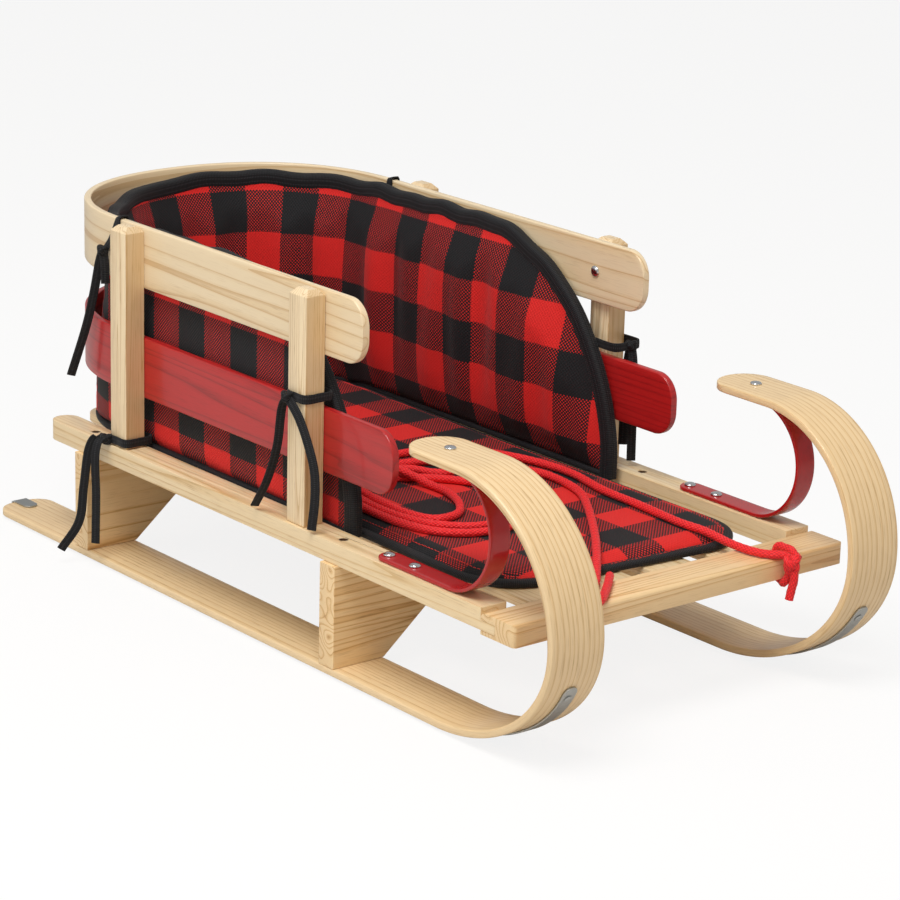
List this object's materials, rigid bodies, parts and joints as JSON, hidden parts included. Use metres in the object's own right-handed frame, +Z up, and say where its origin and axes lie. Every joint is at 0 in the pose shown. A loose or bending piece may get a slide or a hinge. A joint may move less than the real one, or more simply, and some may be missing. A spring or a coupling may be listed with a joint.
{
  "type": "baby pull sled",
  "caption": "Low pull sled with curled wooden runners, a slatted deck, a bent-wood back rail with plaid pads, steel braces and a red pull rope.",
  "frame": {"origin": "on the ground under the middle of the sled's length and width", "axes": "+X towards the curled front, +Y to the sled's left, +Z up"},
  "size_m": [0.812, 0.4204, 0.318],
  "materials": {
    "ash": "clear satin varnish",
    "red_ash": "red stain under gloss varnish",
    "red_enamel": "gloss enamel",
    "galvanised_steel": "dull galvanised",
    "bright_steel": "bright plated",
    "plaid_cloth": "red and black buffalo plaid cotton",
    "black_webbing": "ribbed black webbing",
    "red_rope": "braided cord"
  },
  "bodies": {
    "root": {"runner_left": "ash", "runner_shoe_left": "galvanised_steel", "shoe_screw_left": "bright_steel", "side_rail_left": "ash", "brace_left": "red_enamel", "curl_rivet_left": "bright_steel", "tie_rear_left": "black_webbing", "tie_band_left": "black_webbing", "brace_bolt_left_1": "bright_steel", "rail_screw_left_1": "bright_steel", "brace_bolt_left_2": "bright_steel", "rail_screw_left_2": "bright_steel", "post_front_left": "ash", "post_screw_front_left": "bright_steel", "upper_bolt_front_left": "bright_steel", "lower_bolt_front_left": "bright_steel", "post_rear_left": "ash", "post_screw_rear_left": "bright_steel", "upper_bolt_rear_left": "bright_steel", "lower_bolt_rear_left": "bright_steel", "runner_right": "ash", "runner_shoe_right": "galvanised_steel", "shoe_screw_right": "bright_steel", "side_rail_right": "ash", "brace_right": "red_enamel", "curl_rivet_right": "bright_steel", "tie_rear_right": "black_webbing", "tie_band_right": "black_webbing", "brace_bolt_right_1": "bright_steel", "rail_screw_right_1": "bright_steel", "brace_bolt_right_2": "bright_steel", "rail_screw_right_2": "bright_steel", "post_front_right": "ash", "post_screw_front_right": "bright_steel", "upper_bolt_front_right": "bright_steel", "lower_bolt_front_right": "bright_steel", "post_rear_right": "ash", "post_screw_rear_right": "bright_steel", "upper_bolt_rear_right": "bright_steel", "lower_bolt_rear_right": "bright_steel", "bolster_front": "ash", "bolster_rear": "ash", "front_crossbar": "ash", "seat_slat_1": "ash", "seat_slat_2": "ash", "seat_slat_3": "ash", "seat_slat_4": "ash", "upper_band": "ash", "lower_band": "red_ash", "seat_pad": "plaid_cloth", "back_pad": "plaid_cloth", "tie_front_left": "black_webbing", "tie_front_right": "black_webbing", "pull_rope": "red_rope", "rope_knot_left": "red_rope", "rope_knot_right": "red_rope"}
  },
  "joints": []
}
